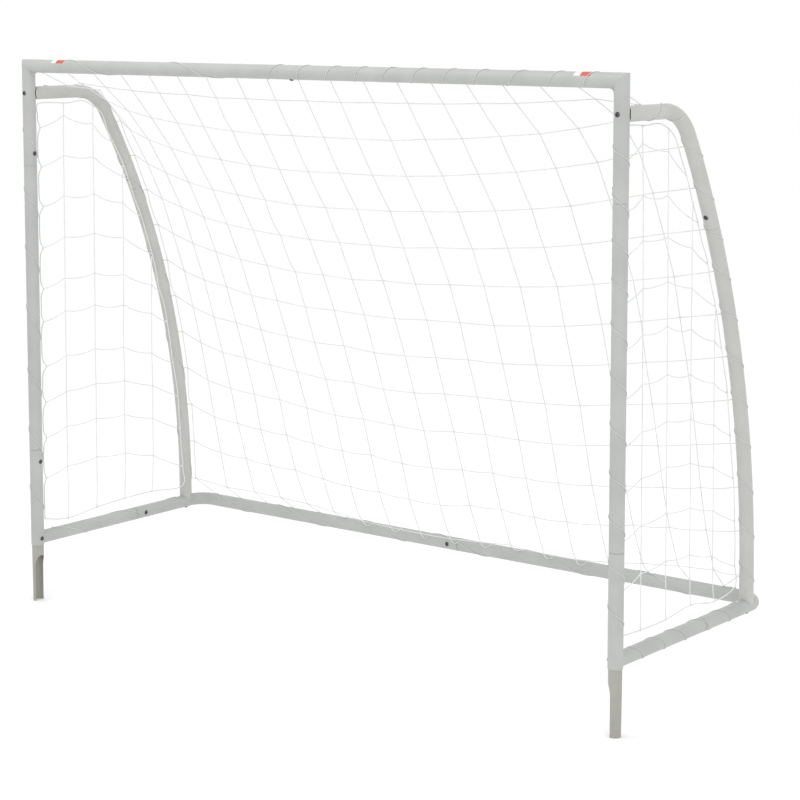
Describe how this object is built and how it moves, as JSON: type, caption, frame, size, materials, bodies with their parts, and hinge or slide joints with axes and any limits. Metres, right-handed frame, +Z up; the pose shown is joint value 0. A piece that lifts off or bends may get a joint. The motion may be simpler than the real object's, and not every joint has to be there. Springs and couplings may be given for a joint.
{
  "type": "soccer goal frame",
  "caption": "Bolt-together tubular goal: mitred front frame, curved rear arms, ground bars, stakes and a laced cord net.",
  "frame": {"origin": "at ground level, which is the underside of the ground bars and the turf in use, midway across the goal and midway between its foremost and rearmost points; the stakes' tips are 0.142 m lower", "axes": "+X across the goal to the right as a player shooting at it sees it, +Y from the mouth towards the back, +Z up"},
  "size_m": [1.7346, 0.6269, 1.3443],
  "materials": {
    "powder_coat": "satin off-white powder coat",
    "stake_coat": "satin grey-white powder coat",
    "dark_screw": "blackened steel",
    "zinc": "bright zinc plate",
    "black_plastic": "matt moulded plastic",
    "label_film": "blank white film with a plain red end",
    "net_cord": "white braided polyethylene cord",
    "lacing_cord": "white twisted polyethylene cord"
  },
  "bodies": {
    "root": {"top_corner_left": "powder_coat", "top_corner_right": "powder_coat", "post_middle_left": "powder_coat", "post_middle_right": "powder_coat", "post_foot_left": "powder_coat", "post_foot_right": "powder_coat", "ground_stake_left": "stake_coat", "ground_stake_right": "stake_coat", "rear_corner_left": "powder_coat", "rear_corner_right": "powder_coat", "upper_arm_left": "powder_coat", "upper_arm_right": "powder_coat", "lower_arm_left": "powder_coat", "lower_arm_right": "powder_coat", "arm_saddle_left": "black_plastic", "arm_saddle_right": "black_plastic", "crossbar_screw": "dark_screw", "post_upper_screws": "dark_screw", "post_lower_screws": "dark_screw", "stake_screws": "dark_screw", "side_bar_screws": "dark_screw", "rear_bar_screw": "dark_screw", "arm_joint_screws": "dark_screw", "arm_mount_bolts": "dark_screw", "arm_base_bolts": "dark_screw", "joint_weld_nuts": "zinc", "arm_end_plates": "zinc", "label_left": "label_film", "label_right": "label_film", "net_back": "net_cord", "net_side_left": "net_cord", "net_side_right": "net_cord", "lacing_crossbar": "lacing_cord", "lacing_posts": "lacing_cord", "lacing_arms": "lacing_cord", "lacing_ground_bars": "lacing_cord"}
  },
  "joints": []
}
